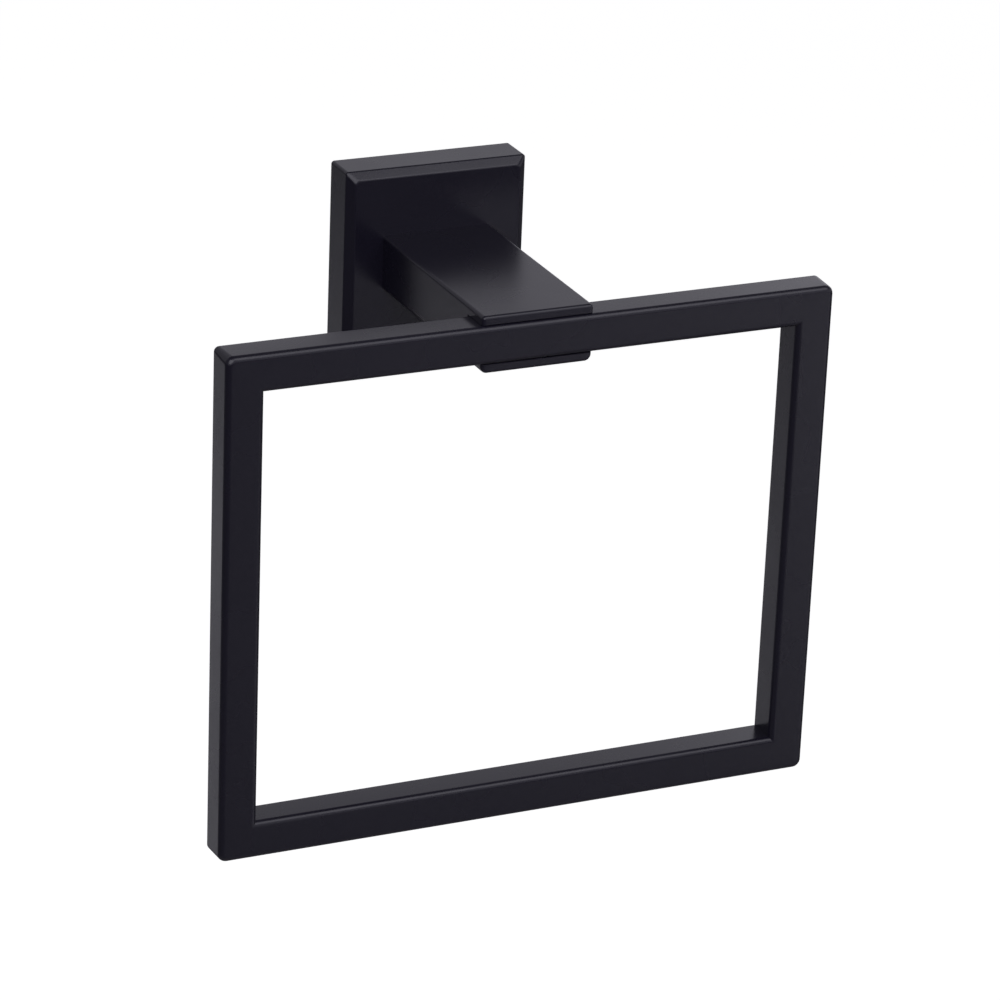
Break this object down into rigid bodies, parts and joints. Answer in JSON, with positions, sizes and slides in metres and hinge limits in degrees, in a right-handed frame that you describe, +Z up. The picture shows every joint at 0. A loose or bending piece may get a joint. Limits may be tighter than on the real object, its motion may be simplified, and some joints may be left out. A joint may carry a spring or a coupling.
{
  "type": "towel ring",
  "caption": "Square towel ring of square bar held in the slotted end of a rectangular arm, on a square bevelled wall plate.",
  "frame": {"origin": "centre of the cover plate on the wall's face", "axes": "+X right as seen by someone facing the wall, +Y into the wall, +Z up; the part lies at y <= 0"},
  "size_m": [0.164, 0.0758, 0.155],
  "materials": {
    "ring_black_coat": "satin black powder coat",
    "post_black_coat": "satin black powder coat",
    "escutcheon_black_coat": "satin black powder coat",
    "screw_zinc_plate": "bright zinc plated",
    "washer_spring_steel": "dull zinc plated",
    "washer_zinc_plate": "bright zinc plated",
    "bracket_zinc_plate": "pressed sheet, zinc plated",
    "grub_black_oxide": "black oxide"
  },
  "bodies": {
    "root": {"ring": "ring_black_coat", "post": "post_black_coat", "escutcheon": "escutcheon_black_coat", "tie_screw": "screw_zinc_plate", "tie_lock_washer": "washer_spring_steel", "tie_flat_washer": "washer_zinc_plate", "wall_bracket": "bracket_zinc_plate", "grub_screw": "grub_black_oxide"}
  },
  "joints": []
}
